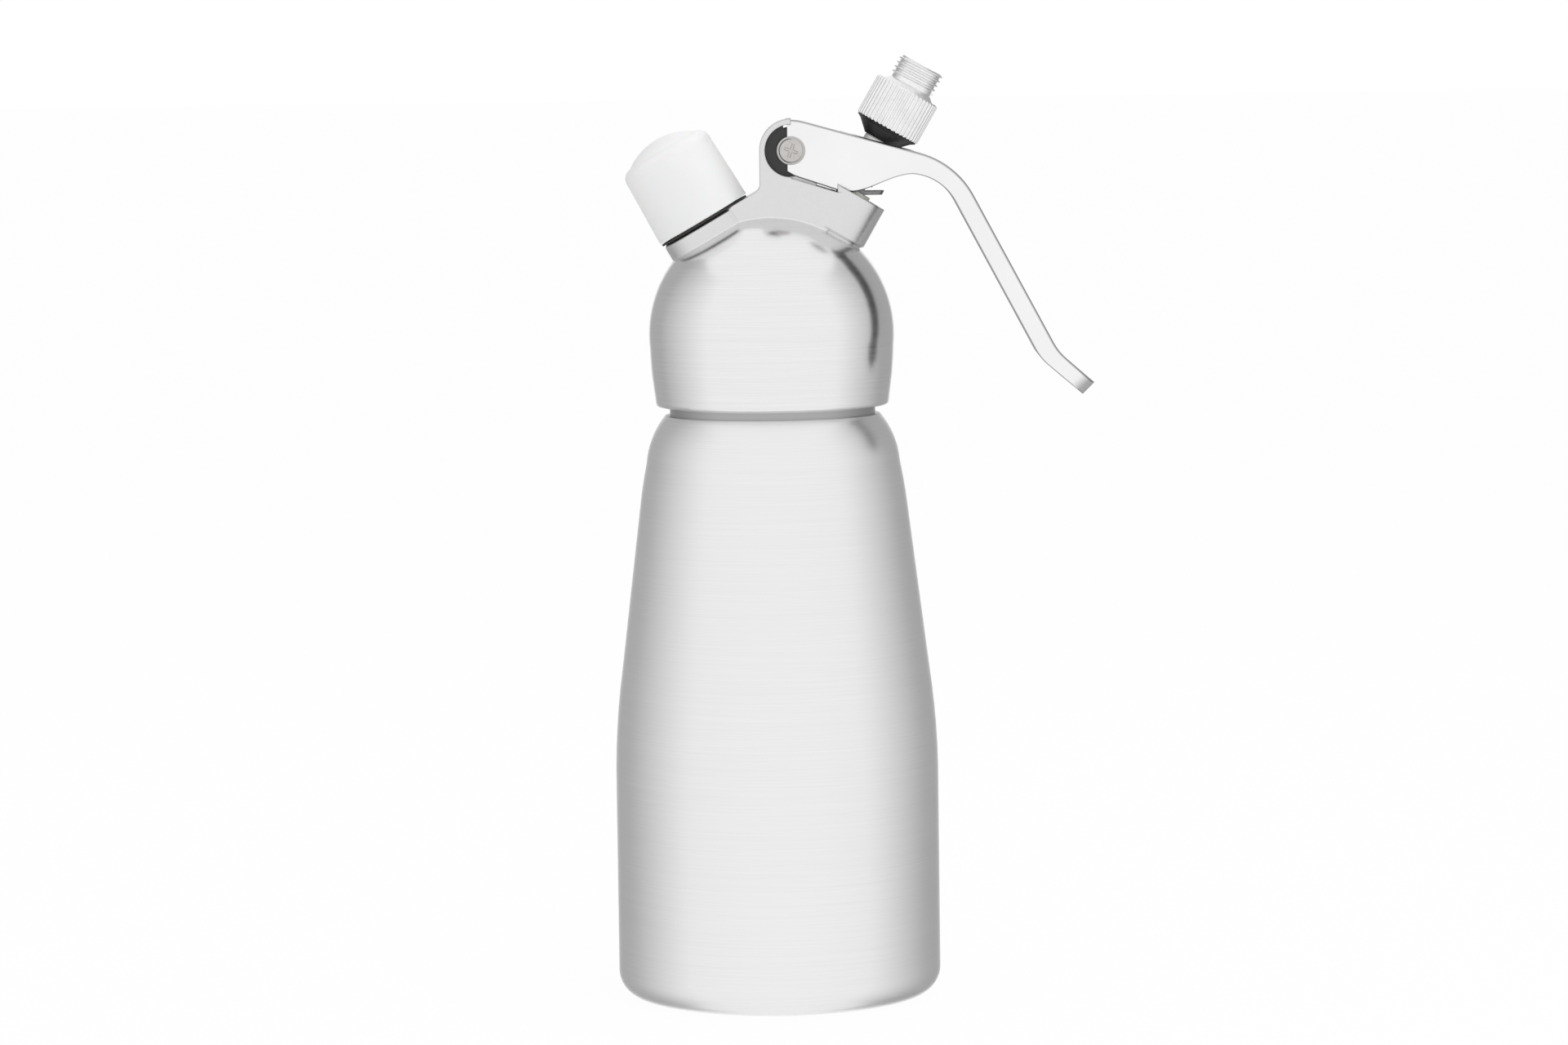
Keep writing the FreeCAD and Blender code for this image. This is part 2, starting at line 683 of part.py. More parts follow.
def arc_by_tangent(start, way, end):
    chord = end - start
    half = chord.Length / 2
    across = chord.normalize()
    angle = way.getAngle(across)
    out = (way - across * way.dot(across)).normalize()
    middle = (start + end) * 0.5 + out * (half * math.tan(angle / 2))
    return Part.Arc(start, middle, end).toShape()


def make_spring(axis, start, end, mean_radius, wire, turns, name):
    edges, points = helix_wire(axis, start + wire / 2 + 0.05, end - wire / 2 - 0.05, mean_radius, turns)
    path = Part.Wire(edges)
    first = points[0]
    way = edges[0].tangentAt(edges[0].FirstParameter)
    profile = Part.Wire(Part.makeCircle(wire / 2, first, way))
    solid = path.makePipeShell([profile], True, False)
    least = min((points[i] - points[j]).Length - wire
                for i in range(len(points)) for j in range(i + 12, len(points)))
    print(name, "least gap between turns", round(least, 2))
    return solid


def poppet_levels():
    """Lower faces of the poppet's seal and of the poppet, along the valve axis."""
    seal_low = valve_seat_at - seat_thickness - poppet_seal_thickness
    poppet_low = seal_low - poppet_thickness
    return seal_low, poppet_low


def make_nozzle_adapter():
    shape = rod(valve_axis, adapter_bottom, adapter_knurl_top, adapter_radius)
    rims = [e for e in shape.Edges if e.Closed]
    shape = shape.makeChamfer(0.5, rims)
    groove_radius = 0.42
    across = V(valve_axis.z, 0, -valve_axis.x)
    grooves = []
    for index in range(knurl_count):
        angle = 360.0 * index / knurl_count
        reach = adapter_radius + groove_radius - knurl_depth
        centre = along(valve_axis, adapter_bottom - 1) + across * reach
        cutter = Part.makeCylinder(groove_radius, adapter_knurl_top - adapter_bottom + 2, centre,
                                   valve_axis)
        cutter.rotate(dome_centre, valve_axis, angle)
        grooves.append(cutter)
    shape = shape.cut(Part.makeCompound(grooves))
    core = outlet_thread_radius - outlet_thread_depth
    shape = shape.fuse([cone_on_axis(valve_axis, adapter_knurl_top, adapter_shoulder_top, 7.0,
                                     core + 0.2),
                        rod(valve_axis, adapter_knurl_top, outlet_top, core)])
    ridge_turns = 4.0
    ridge = helix_thread(valve_axis, along(valve_axis, adapter_shoulder_top + 0.7), core,
                         outlet_thread_pitch, ridge_turns, outlet_thread_depth,
                         outlet_thread_pitch * 0.8)
    shape = shape.fuse(ridge)
    shape = shape.cut(rod(valve_axis, adapter_bottom - 1, stem_top + running_gap + 0.3,
                          stem_thread_radius + running_gap))
    return shape.cut(rod(valve_axis, stem_top, outlet_top + 1, outlet_bore_radius))


def make_adapter_washer():
    cone = cone_on_axis(valve_axis, washer_cone_bottom, adapter_bottom - 0.7, cone_foot_radius,
                        washer_cone_radius)
    rim = cone_on_axis(valve_axis, adapter_bottom - 0.7, adapter_bottom, washer_cone_radius,
                       adapter_radius - 0.2)
    shape = cone.fuse(rim)
    return shape.cut(rod(valve_axis, washer_cone_bottom - 1, adapter_bottom + 1,
                         stem_thread_radius + running_gap))


def make_inlet_stub():
    core = stub_thread_radius - stub_thread_depth
    foot = inlet_boss_top + inlet_gasket_thickness
    shape = rod(inlet_axis, foot, stub_top, core)
    rim = [e for e in shape.Edges if e.Closed and e.CenterOfMass.z > along(inlet_axis, stub_top - 0.5).z]
    shape = shape.makeChamfer(0.6, rim)
    ridge = helix_thread(inlet_axis, along(inlet_axis, foot + 2.0), core, stub_thread_pitch, 5.0,
                         stub_thread_depth, stub_thread_pitch * 0.8)
    shape = shape.fuse([ridge, rod(inlet_axis, stub_bottom, foot + 0.5, stub_shank_radius)])
    shape = shape.cut(rod(inlet_axis, charger_neck_floor, stub_top + 1, charger_neck_radius))
    shape = shape.cut(rod(inlet_axis, stub_bottom - 1, stub_top, pin_radius))
    shape = shape.cut(rod(inlet_axis, stub_bottom - 1, ball_seat_at, check_bore_radius))
    shape = shape.cut(rod(inlet_axis, ball_seat_at - 0.1, charger_neck_floor - 4.0, gas_bore_radius))
    return shape.removeSplitter()


def make_piercing_pin():
    low = charger_neck_floor - 4.0
    top = charger_neck_floor + pin_length
    body = rod(inlet_axis, low, top - 1.6, pin_radius)
    point = cone_on_axis(inlet_axis, top - 1.6, top, pin_radius, 0.35)
    return body.fuse(point).cut(rod(inlet_axis, low - 1, top + 1, 0.3))


def make_check_parts():
    ball_at = ball_seat_at - ball_radius - 0.02
    ball = Part.makeSphere(ball_radius, along(inlet_axis, ball_at))
    retainer_top = stub_bottom + 1.6
    retainer = tube(inlet_axis, stub_bottom, retainer_top, check_bore_radius - 0.02, 0.9)
    spring = make_spring(inlet_axis, retainer_top, ball_at - ball_radius, 1.2, check_spring_wire,
                         check_spring_turns, "check_spring")
    return ball, retainer, spring


def crown_middle(edge_radius, edge_z, top_z):
    """Middle point of the arc from a rim up to the axis, whose centre lies on the axis."""
    rise = top_z - edge_z
    sphere_radius = (rise ** 2 + edge_radius ** 2) / (2 * rise)
    half = math.asin(edge_radius / sphere_radius) / 2
    return sphere_radius * math.sin(half), top_z - sphere_radius * (1 - math.cos(half))


def make_cap():
    rim_radius = cap_top_radius - cap_edge_radius * 0.62
    rim_z = cap_side_height + cap_edge_radius * 0.75
    edge_middle = (cap_top_radius - cap_edge_radius * 0.12, cap_side_height + cap_edge_radius * 0.46)
    outer = revolved([(0, 0), (cap_radius, 0), (cap_top_radius, cap_side_height),
                      (rim_radius, rim_z), (0, cap_height)],
                     {2: edge_middle, 3: crown_middle(rim_radius, rim_z, cap_height)})
    inner_rim = rim_radius - cap_wall
    inner_rim_z = rim_z - cap_wall
    inner_top = cap_height - cap_wall
    inner = revolved([(0, -1), (cap_radius - cap_wall, -1),
                      (cap_top_radius - cap_wall, cap_side_height - cap_wall),
                      (inner_rim, inner_rim_z), (0, inner_top)],
                     {3: crown_middle(inner_rim, inner_rim_z, inner_top)})
    shape = outer.cut(inner)
    rib_limit = revolved([(0, 0), (cap_radius - 0.5, 0), (cap_top_radius - 0.5, cap_side_height),
                          (0, cap_side_height)])
    for index in range(cap_rib_count):
        rib = Part.makeBox(cap_radius, 0.8, 12.0, V(stub_thread_radius + 0.12, -0.4, 3.0))
        rib = rib.common(rib_limit)
        rib.rotate(V(0, 0, 0), UP, 360.0 * (index + 0.5) / cap_rib_count)
        shape = shape.fuse(rib)
    turn = FreeCAD.Placement(along(inlet_axis, cap_bottom), FreeCAD.Rotation(UP, inlet_axis))
    return shape.transformed(turn.toMatrix())


os.makedirs("parts", exist_ok=True)
parts = {}
parts["bottle"] = make_bottle()
parts["head"] = make_head()
parts["head_gasket"] = make_head_gasket()
parts["lever"] = make_lever()
parts["fork_plate"] = make_fork_plate()
sleeve, washers, screw, nut = make_pivot_parts()
parts["pivot_sleeve"] = sleeve
parts["pivot_washers"] = washers
parts["pivot_screw"] = screw
parts["pivot_nut"] = nut
parts["valve_stem"] = make_valve_stem()
collar, clip = make_collar_and_clip()
parts["spring_collar"] = collar
parts["collar_clip"] = clip
parts["valve_spring"] = make_spring(valve_axis, spring_floor, collar_bottom, spring_mean_radius,
                                    spring_wire, spring_turns, "valve_spring")
seal_low, poppet_low = poppet_levels()
parts["valve_seat"] = tube(valve_axis, valve_seat_at - seat_thickness, valve_seat_at,
                           poppet_chamber_radius, seat_bore_radius)
parts["poppet_seal"] = tube(valve_axis, seal_low, seal_low + poppet_seal_thickness - running_gap,
                            poppet_radius + 0.4, stem_tail_radius + running_gap)
parts["poppet"] = tube(valve_axis, poppet_low, seal_low, poppet_radius, stem_tail_radius + running_gap)
parts["poppet_nut"] = tube(valve_axis, stem_bottom, poppet_low, poppet_nut_radius,
                           stem_tail_radius + running_gap)
parts["stem_guide"] = tube(valve_axis, valve_seat_at, spring_floor, stem_radius + 1.2,
                           stem_radius + running_gap)
parts["nozzle_adapter"] = make_nozzle_adapter()
parts["adapter_washer"] = make_adapter_washer()
parts["inlet_gasket"] = tube(inlet_axis, inlet_boss_top, inlet_boss_top + inlet_gasket_thickness,
                             inlet_gasket_radius, stub_shank_radius + running_gap)
parts["inlet_stub"] = make_inlet_stub()
parts["piercing_pin"] = make_piercing_pin()
ball, retainer, check_spring = make_check_parts()
parts["check_ball"] = ball
parts["check_retainer"] = retainer
parts["check_spring"] = check_spring
parts["cap"] = make_cap()

for name, shape in parts.items():
    solids = len(shape.Solids)
    print(name, "solids", solids, "valid", shape.isValid(), "volume", round(shape.Volume, 1))
    shape.exportStep("parts/" + name + ".step")
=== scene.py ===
# %% [markdown]
# A whipped cream dispenser in brushed aluminium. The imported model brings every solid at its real
# place and size. This file gives each of them its finish, models the lever's skin again with the
# soft edges of a polished casting, and sets up a bright white studio like the one in the
# photograph. The other solids keep the shape that they were packed with.

# %% Load the frame
import json
import math

import bpy
import numpy as np
from mathutils import Matrix, Vector


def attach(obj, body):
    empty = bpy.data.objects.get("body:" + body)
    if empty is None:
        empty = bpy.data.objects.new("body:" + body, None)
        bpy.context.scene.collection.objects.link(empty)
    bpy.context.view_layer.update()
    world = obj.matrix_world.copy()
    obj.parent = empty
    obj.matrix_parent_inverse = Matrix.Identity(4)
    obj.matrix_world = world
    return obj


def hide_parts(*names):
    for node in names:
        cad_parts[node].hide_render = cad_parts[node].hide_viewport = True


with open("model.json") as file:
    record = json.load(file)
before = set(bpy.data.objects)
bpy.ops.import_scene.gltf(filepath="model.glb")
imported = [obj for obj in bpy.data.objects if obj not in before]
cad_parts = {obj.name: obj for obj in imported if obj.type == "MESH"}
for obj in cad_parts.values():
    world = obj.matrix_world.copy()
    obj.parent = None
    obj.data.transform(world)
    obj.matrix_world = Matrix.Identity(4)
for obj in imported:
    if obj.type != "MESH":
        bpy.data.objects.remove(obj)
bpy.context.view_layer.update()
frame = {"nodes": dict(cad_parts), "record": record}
print("solids in the frame:", len(frame["nodes"]))

# %% [markdown]
# The photograph was taken from about 1.3 m with a long lens, looking slightly down. The horizon
# is a little off level: the bottle leans by less than a degree. A camera can be aimed with a
# Track To constraint, but here its three axes are worked out as vectors, because then the lean is
# one plain rotation. The lens is given by its focal length in pixels, because that is what the
# outline of the base and the neck measure.

# %% Camera
PICTURE_WIDTH = 1920
SENSOR_WIDTH_MM = 36.0
FOCAL_PIXELS = 6500.0
FAR_CLIP = 200.0
LOOK_DOWN = math.radians(5.0)
ROLL = math.radians(0.75)
CAMERA_DISTANCE = 1.3471
AIM = Vector((0.00252, 0.0, 0.12032))


def place_camera():
    """Camera whose axes are the look direction, the level direction and their cross product,
    the last two turned by the roll."""
    look = Vector((0.0, math.cos(LOOK_DOWN), -math.sin(LOOK_DOWN)))
    level = Vector((1.0, 0.0, 0.0))
    upward = level.cross(look)
    right = level * math.cos(ROLL) - upward * math.sin(ROLL)
    top = upward * math.cos(ROLL) + level * math.sin(ROLL)
    lens = bpy.data.cameras.new("photo_camera")
    lens.sensor_width = SENSOR_WIDTH_MM
    lens.lens = SENSOR_WIDTH_MM * FOCAL_PIXELS / PICTURE_WIDTH
    lens.clip_end = FAR_CLIP
    camera = bpy.data.objects.new("photo_camera", lens)
    bpy.context.collection.objects.link(camera)
    turn = Matrix((right, top, -look)).transposed().to_4x4()
    camera.matrix_world = Matrix.Translation(AIM - look * CAMERA_DISTANCE) @ turn
    bpy.context.scene.camera = camera
    return camera


camera = place_camera()
bpy.context.scene.view_settings.view_transform = "Standard"
print("lens in mm:", round(camera.data.lens, 1))

# %% [markdown]
# A material is a graph of nodes, and wiring it by hand takes a line for each link. Shader
# arithmetic reads best as plain Python, so `Value` wraps one socket and turns + - and * into Math
# nodes. `Finish` owns one material: `node` adds any other node from its settings and the values or
# links of its sockets, and hands back one output, the first unless another is named.

# %% A small language for materials
FACE_COSINE = 0.985
EDGE_COSINE = 0.90


class Value:
    """One output socket of a material, with arithmetic."""

    def __init__(self, finish, socket):
        self.finish = finish
        self.socket = socket

    def _math(self, operation, first, second):
        return self.finish.node("ShaderNodeMath", {"operation": operation}, {0: first, 1: second})

    def __add__(self, other):
        return self._math("ADD", self, other)

    def __sub__(self, other):
        return self._math("SUBTRACT", self, other)

    def __rsub__(self, other):
        return self._math("SUBTRACT", other, self)

    def __mul__(self, other):
        return self._math("MULTIPLY", self, other)

    __radd__ = __add__
    __rmul__ = __mul__


class Finish:
    """A Principled material that is built one node at a time."""

    def __init__(self, name, color, metallic, roughness, **fixed):
        self.material = bpy.data.materials.new(name)
        self.material.use_nodes = True
        self.tree = self.material.node_tree
        self.shader = self.tree.nodes["Principled BSDF"]
        self.set("Base Color", (*color, 1.0))
        self.set("Metallic", metallic)
        self.set("Roughness", roughness)
        for socket, value in fixed.items():
            self.set(socket.replace("_", " "), value)

    def set(self, socket, value):
        self._feed(self.shader.inputs[socket], value)

    def _feed(self, target, value):
        if isinstance(value, Value):
            self.tree.links.new(value.socket, target)
        else:
            target.default_value = value

    def node(self, kind, settings, values, output=0):
        made = self.tree.nodes.new(kind)
        for setting, value in settings.items():
            if setting == "stops":
                ramp = made.color_ramp.elements
                while len(ramp) < len(value):
                    ramp.new(0.5)
                for stop, (place, color) in zip(ramp, value):
                    stop.position = place
                    stop.color = color
            else:
                setattr(made, setting, value)
        for socket, value in values.items():
            self._feed(made.inputs[socket], value)
        return Value(self, made.outputs[output])

    def place(self, scale=(1.0, 1.0, 1.0), turn=(0.0, 0.0, 0.0)):
        """Object coordinates in metres, turned and scaled."""
        coordinates = self.node("ShaderNodeTexCoord", {}, {}, "Object")
        return self.node("ShaderNodeMapping", {}, {"Vector": coordinates, "Scale": scale,
                                                   "Rotation": turn})

    def noise(self, vector, detail=2.0):
        """Noise whose scale is already in its coordinates."""
        return self.node("ShaderNodeTexNoise", {}, {"Vector": vector, "Scale": 1.0,
                                                    "Detail": detail, "Roughness": 0.5})

    def blend(self, amount, first, second):
        """Colour between first and second by amount."""
        return self.node("ShaderNodeMix", {"data_type": "RGBA"}, {0: amount, 6: first, 7: second}, 2)

    def between(self, value, low, high, to_low=0.0, to_high=1.0):
        """Value carried from one range to another and held at its ends."""
        return self.node("ShaderNodeMapRange", {"clamp": True},
                         {"Value": value, "From Min": low, "From Max": high, "To Min": to_low,
                          "To Max": to_high})

    def rounded(self, radius):
        """Normals of edges that are rounded off over a radius."""
        return self.node("ShaderNodeBevel", {"samples": 6}, {"Radius": radius})

    def edge(self, radius):
        """1 along sharp edges, within a radius, and 0 on the faces, from the cosine of the angle
        between the rounded normal and the true one."""
        normal = self.node("ShaderNodeNewGeometry", {}, {}, "Normal")
        turned = self.node("ShaderNodeVectorMath", {"operation": "DOT_PRODUCT"},
                           {0: self.rounded(radius), 1: normal}, "Value")
        return self.between(turned, FACE_COSINE, EDGE_COSINE)

    def bump(self, height, strength, distance, over=None):
        sockets = {"Height": height, "Strength": strength, "Distance": distance}
        if over is not None:
            sockets["Normal"] = over
        self.set("Normal", self.node("ShaderNodeBump", {}, sockets))


def grey(level):
    return (level, level, level, 1.0)


print("middle grey:", grey(0.5))

# %% [markdown]
# The bottle and the head's dome are spun on a lathe against abrasive cloth, which leaves fine
# level scratches, each a few centimetres long and a few tenths of a millimetre high. They could be
# painted as an image, but that needs a UV map for each piece. A noise that is squashed along Z and
# long in X and Y gives such scratches on any turned surface. The strip of neck that shows in the
# gap under the head sees little light, so a band by height paints shade into the metal's colour
# there.

# %% Brushed aluminium
FINE_ALONG = 40.0
FINE_ACROSS = 5200.0
LONG_ALONG = 9.0
LONG_ACROSS = 2600.0
SHOULDER_TOP = 0.148
GAP_TOP = 0.150
GAP_SHADE_GREY = 0.42


def lathe_scratches(finish):
    """Sum of a fine and a long noise, each scaled per metre along and across the scratches."""
    fine = finish.noise(finish.place((FINE_ALONG, FINE_ALONG, FINE_ACROSS)), detail=3.0)
    long = finish.noise(finish.place((LONG_ALONG, LONG_ALONG, LONG_ACROSS)))
    return fine * 0.6 + long * 0.4


def brushed_aluminium(name, bright, dull):
    finish = Finish(name, (0.8, 0.8, 0.8), 1.0, 0.34)
    scratches = lathe_scratches(finish)
    cloudy = finish.noise(finish.place((14.0, 14.0, 7.0)), detail=1.0)
    shade = finish.between(scratches * 0.8 + cloudy * 0.2, 0.38, 0.62)
    height = finish.node("ShaderNodeSeparateXYZ", {}, {0: finish.place()}, "Z")
    over_shoulder = finish.between(height, SHOULDER_TOP - 0.0001, SHOULDER_TOP + 0.0001)
    under_skirt = finish.between(height, GAP_TOP - 0.0002, GAP_TOP + 0.0002, 1.0, 0.0)
    skin = finish.blend(shade, grey(dull), grey(bright))
    # Painted shade: the strip of neck in the gap under the head is coloured dark grey.
    finish.set("Base Color", finish.blend(over_shoulder * under_skirt, skin, grey(GAP_SHADE_GREY)))
    finish.set("Roughness", finish.between(scratches, 0.35, 0.65, 0.29, 0.34))
    finish.bump(scratches, 0.05, 0.00002)
    return finish


bottle_metal = brushed_aluminium("bottle_brushed", 0.86, 0.82)
print("nodes in the bottle's finish:", len(bottle_metal.tree.nodes))

# %% [markdown]
# The head is one casting with two finishes: the dome is brushed like the bottle, and the saddle
# that carries the lever is satin smooth. Two materials would need the casting's faces sorted, and
# its mesh stays as it was packed. So one material holds both, and the distance from the dome's
# centre tells them apart, because everything that belongs to the saddle stands proud of the
# sphere. The notch round the pivot gets painted shade, a dark colour, because little light reaches
# its walls, and the saddle's sharp edges get thin lines of painted shade.

# %% Cast head
DOME_CENTRE_Z = 0.1683
DOME_RADIUS = 0.031
PIVOT_X = 0.0055
PIVOT_Z = 0.2146
NOTCH_RADIUS = 0.0066
SUNK_FACE_Y = 0.0084
NOTCH_SHADE_GREY = 0.06
EDGE_SHADE_WIDTH = 0.0004
EDGE_ROUNDING = 0.0007


def pivot_recess(finish, position):
    """1 in the notch round the pivot, between the post's two walls, and 0 elsewhere."""
    from_pivot = finish.node("ShaderNodeVectorMath", {"operation": "SUBTRACT"},
                             {0: position, 1: (PIVOT_X, 0.0, PIVOT_Z)})
    flat = finish.node("ShaderNodeVectorMath", {"operation": "MULTIPLY"},
                       {0: from_pivot, 1: (1.0, 0.0, 1.0)})
    reach = finish.node("ShaderNodeVectorMath", {"operation": "LENGTH"}, {0: flat}, "Value")
    side = finish.node("ShaderNodeSeparateXYZ", {}, {0: position}, "Y")
    away = finish.node("ShaderNodeMath", {"operation": "ABSOLUTE"}, {0: side})
    inside = finish.between(reach, NOTCH_RADIUS - 0.0001, NOTCH_RADIUS + 0.0001, 1.0, 0.0)
    sunk = finish.between(away, SUNK_FACE_Y - 0.0002, SUNK_FACE_Y + 0.0002, 1.0, 0.0)
    return inside * sunk


def head_finish():
    finish = Finish("head_casting", (0.8, 0.8, 0.8), 1.0, 0.3)
    position = finish.place()
    centred = finish.node("ShaderNodeVectorMath", {"operation": "SUBTRACT"},
                          {0: position, 1: (0.0, 0.0, DOME_CENTRE_Z)})
    distance = finish.node("ShaderNodeVectorMath", {"operation": "LENGTH"}, {0: centred}, "Value")
    height = finish.node("ShaderNodeSeparateXYZ", {}, {0: position}, "Z")
    proud = finish.between(distance, DOME_RADIUS + 0.0001, DOME_RADIUS + 0.00035)
    above = finish.between(height, DOME_CENTRE_Z, DOME_CENTRE_Z + 0.001)
    saddle = proud * above
    scratches = lathe_scratches(finish)
    skin = finish.noise(finish.place((900.0, 900.0, 900.0)), detail=2.0)
    dome_shade = finish.between(scratches, 0.38, 0.62)
    dome_colour = finish.blend(dome_shade, grey(0.81), grey(0.85))
    saddle_colour = finish.blend(skin, grey(0.70), grey(0.74))
    casting = finish.blend(saddle, dome_colour, saddle_colour)
    # Painted shade: thin dark lines along the saddle's sharp edges.
    edge_shaded = finish.blend(finish.edge(EDGE_SHADE_WIDTH) * saddle * 0.6, casting, grey(0.2))
    recess = pivot_recess(finish, position)
    # Painted shade: the notch round the pivot is coloured almost black.
    finish.set("Base Color", finish.blend(recess, edge_shaded, grey(NOTCH_SHADE_GREY)))
    dome_rough = finish.between(scratches, 0.35, 0.65, 0.18, 0.23)
    saddle_rough = finish.between(skin, 0.3, 0.7, 0.27, 0.33)
    finish.set("Roughness", saddle * saddle_rough + (1.0 - saddle) * dome_rough)
    texture = saddle * skin * 0.15 + (1.0 - saddle) * scratches
    finish.bump(texture, 0.05, 0.00002, finish.rounded(EDGE_ROUNDING))
    return finish


head_metal = head_finish()
print("nodes in the head's finish:", len(head_metal.tree.nodes))

# %% [markdown]
# The lever is cast, ground and polished, so it mirrors the studio softly, with faint waves from
# the hand polishing and fine hairlines along its length. Two noises make them, the second turned
# to the slope of the grip. On the rounded edges and the inside of the channel, which mirror dark
# things, the colour is painted shade, and the inside is rougher too: two attributes of the mesh,
# lip and hollow, say where they are. The small metal parts share one function, which mixes tool
# marks and a little tarnish.

# %% Polished lever
WAVES_PER_METRE = 60.0
HAIRLINE_SLOPE = math.radians(-28.5)
EDGE_SHADE_GREY = 0.10
TOOL_MARKS_PER_METRE = 1500.0
TARNISH_PER_METRE = 220.0


def polished_aluminium():
    finish = Finish("lever_polished", (0.9, 0.9, 0.9), 1.0, 0.16)
    waves = finish.noise(finish.place((WAVES_PER_METRE,) * 3))
    hairlines = finish.noise(finish.place((2600.0, 1600.0, 120.0), (0.0, HAIRLINE_SLOPE, 0.0)))
    bright = finish.blend(waves, grey(0.86), grey(0.93))
    lip = finish.node("ShaderNodeAttribute", {"attribute_name": "lip"}, {}, "Fac")
    hollow = finish.node("ShaderNodeAttribute", {"attribute_name": "hollow"}, {}, "Fac")
    # Painted shade: the rounded edges (lip) and the inside of the channel (hollow) are coloured dark.
    edge_shaded = finish.blend(finish.between(lip, 0.4, 1.0, 0.0, 0.7), bright, grey(EDGE_SHADE_GREY))
    finish.set("Base Color", finish.blend(hollow, edge_shaded, grey(EDGE_SHADE_GREY)))
    polish = finish.between(waves * 0.5 + hairlines * 0.5, 0.35, 0.65, 0.13, 0.22)
    finish.set("Roughness", polish + hollow * 0.3)
    finish.bump(waves * 0.8 + hairlines * 0.2, 0.08, 0.0003)
    return finish


def turned_metal(name, low, high, rough_low, rough_high, tint=(1.0, 1.0, 1.0)):
    """Small turned part: fine tool marks and a little tarnish."""
    finish = Finish(name, (high, high, high), 1.0, rough_low)
    marks = finish.noise(finish.place((TOOL_MARKS_PER_METRE,) * 3), detail=3.0)
    tarnish = finish.noise(finish.place((TARNISH_PER_METRE,) * 3), detail=1.0)
    dark = tuple(low * part for part in tint) + (1.0,)
    light = tuple(high * part for part in tint) + (1.0,)
    worn = finish.between(marks * 0.5 + tarnish * 0.5, 0.35, 0.65)
    finish.set("Base Color", finish.blend(worn, dark, light))
    finish.set("Roughness", finish.between(marks, 0.35, 0.65, rough_low, rough_high))
    finish.bump(marks, 0.06, 0.00005, finish.rounded(0.00025))
    return finish


lever_metal = polished_aluminium()
knurled_metal = turned_metal("knurled_bright", 0.82, 0.92, 0.16, 0.26)
screw_steel = turned_metal("screw_steel", 0.50, 0.62, 0.24, 0.36, (1.0, 0.965, 0.945))
dark_steel = turned_metal("dark_steel", 0.16, 0.26, 0.22, 0.36)
stainless = turned_metal("stainless", 0.56, 0.66, 0.2, 0.32, (1.0, 0.99, 0.97))
spring_wire = turned_metal("spring_wire", 0.42, 0.58, 0.22, 0.36)
nickel_brass = turned_metal("nickel_brass", 0.62, 0.74, 0.18, 0.3, (1.0, 0.95, 0.84))
print("metal finishes:", [metal.material.name for metal in (lever_metal, knurled_metal, screw_steel,
                                                            dark_steel, stainless, spring_wire,
                                                            nickel_brass)])

# %% [markdown]
# Plastics and rubbers hardly shine. The cap is moulded in white polypropylene with a fine
# eroded texture. Light goes a little way into it, and a small share of subsurface scattering
# softens its shading in the same way. One function makes all four materials, because a moulded
# part is always the same three things: a colour with a faint cloud, a fine grain and a dull shine.

# %% Plastics and rubbers
SCATTER_DEPTH = 0.002
CLOUD_PER_METRE = 70.0


def moulded(name, color, roughness, grain, depth, subsurface=0.0):
    """Moulded part: a faint cloud in the colour and a fine grain."""
    finish = Finish(name, color, 0.0, roughness, Subsurface_Weight=subsurface,
                    Subsurface_Scale=SCATTER_DEPTH)
    speckle = finish.noise(finish.place((grain,) * 3), detail=3.0)
    cloud = finish.noise(finish.place((CLOUD_PER_METRE,) * 3), detail=1.0)
    dark = tuple(part * 0.97 for part in color) + (1.0,)
    light = tuple(min(part * 1.02, 1.0) for part in color) + (1.0,)
    finish.set("Base Color", finish.blend(cloud, dark, light))
    finish.set("Roughness", finish.between(speckle, 0.3, 0.7, roughness - 0.05, roughness + 0.06))
    finish.bump(speckle, depth, 0.0002)
    return finish


cap_plastic = moulded("cap_white", (0.90, 0.90, 0.90), 0.42, 2200.0, 0.1, 0.08)
black_rubber = moulded("black_rubber", (0.016, 0.016, 0.017), 0.5, 1400.0, 0.3)
grey_rubber = moulded("grey_rubber", (0.33, 0.34, 0.36), 0.55, 1400.0, 0.3)
acetal = moulded("acetal", (0.80, 0.79, 0.74), 0.4, 1800.0, 0.12)

FINISH_OF_SLOT = {"aluminium_bottle": bottle_metal, "aluminium_head": head_metal,
                  "polished_aluminium": lever_metal, "knurled_aluminium": knurled_metal,
                  "white_plastic": cap_plastic, "black_rubber": black_rubber,
                  "grey_rubber": grey_rubber, "steel": stainless, "spring_steel": spring_wire,
                  "brass": nickel_brass, "pale_plastic": acetal}
print("slots with a finish:", len(FINISH_OF_SLOT))

# %% [markdown]
# Every solid of the frame takes the finish of its own material slot. Assigning a material to
# the slots is all that may happen to these objects: their shape stays as it was packed. The pivot's
# screw, washers and nut are a warmer steel than the rest, and the fork plate under the lever is
# darker, so those four are dressed once more.

# %% Dress the solids


def dress(node, finish):
    """Gives each material slot of a solid one finish."""
    item = frame["nodes"][node]
    if not item.data.materials:
        item.data.materials.append(finish.material)
    for index in range(len(item.data.materials)):
        item.data.materials[index] = finish.material


for entry in frame["record"]["subparts"]:
    dress(entry["node"], FINISH_OF_SLOT[entry["material_slot"]])
for node in ("pivot_screw", "pivot_washers", "pivot_nut"):
    dress(node, screw_steel)
dress("fork_plate", dark_steel)

# %% [markdown]
# The lever is one casting: a channel that is open towards the bottle, with a flat web on top and
# two cheeks. Its edges were rounded off by grinding and polishing. A Bevel modifier on the packed
# solid would stumble over its loose triangles, so the lever is modelled as a loft, which joins a
# row of cross sections. The top line and the lower edge are two paths in the XZ plane with the same
# number of stations, so each pair of points gives the place and depth of one section. All of them
# are in millimetres here, and turned to metres when the mesh is made.

